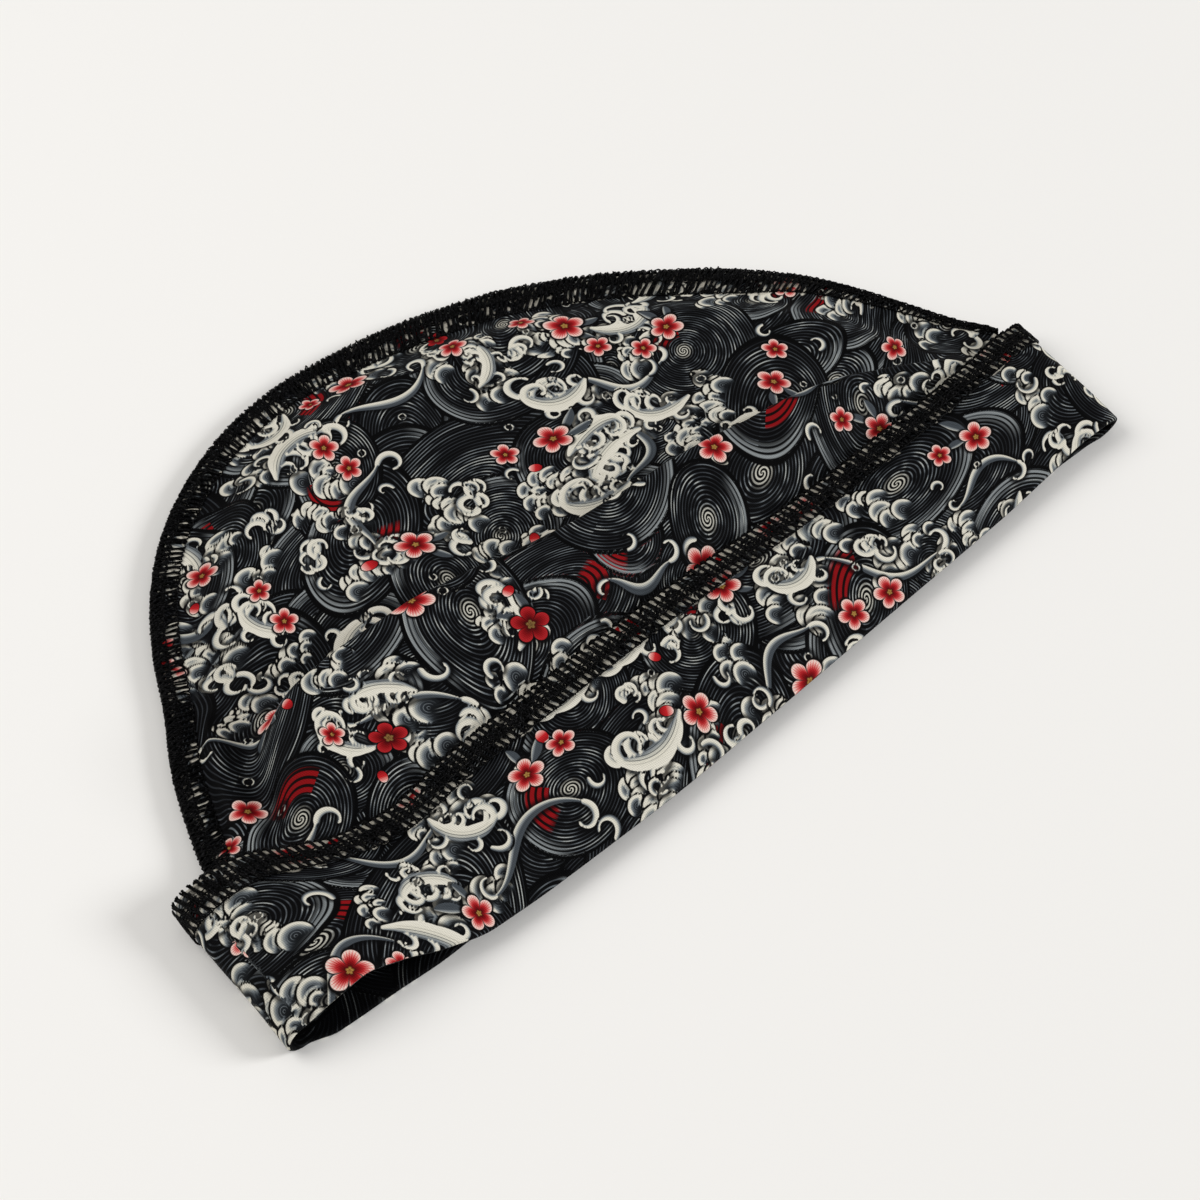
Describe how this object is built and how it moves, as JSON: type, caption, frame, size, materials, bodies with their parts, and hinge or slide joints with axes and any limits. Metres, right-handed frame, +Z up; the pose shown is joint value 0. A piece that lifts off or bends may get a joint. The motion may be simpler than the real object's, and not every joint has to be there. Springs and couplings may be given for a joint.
{
  "type": "wave cap",
  "caption": "Stretch-cloth dome cap laid flat: two joined crown panels with an outside fin seam, and a doubled band open at its lower edge.",
  "frame": {"origin": "on the surface that the cap lies on, under the middle of its box", "axes": "+X along the band, +Y from the head opening to the top of the crown, +Z up from the surface"},
  "size_m": [0.272, 0.1628, 0.017],
  "materials": {
    "printed_knit": "stretch polyester knit with an all-over print, near-black ground, slight satin",
    "overlock_thread": "black polyester overlock thread"
  },
  "bodies": {
    "root": {"crown_upper_panel": "printed_knit", "crown_lower_panel": "printed_knit", "band": "printed_knit", "crown_overlock": "overlock_thread", "band_overlock": "overlock_thread"}
  },
  "joints": []
}
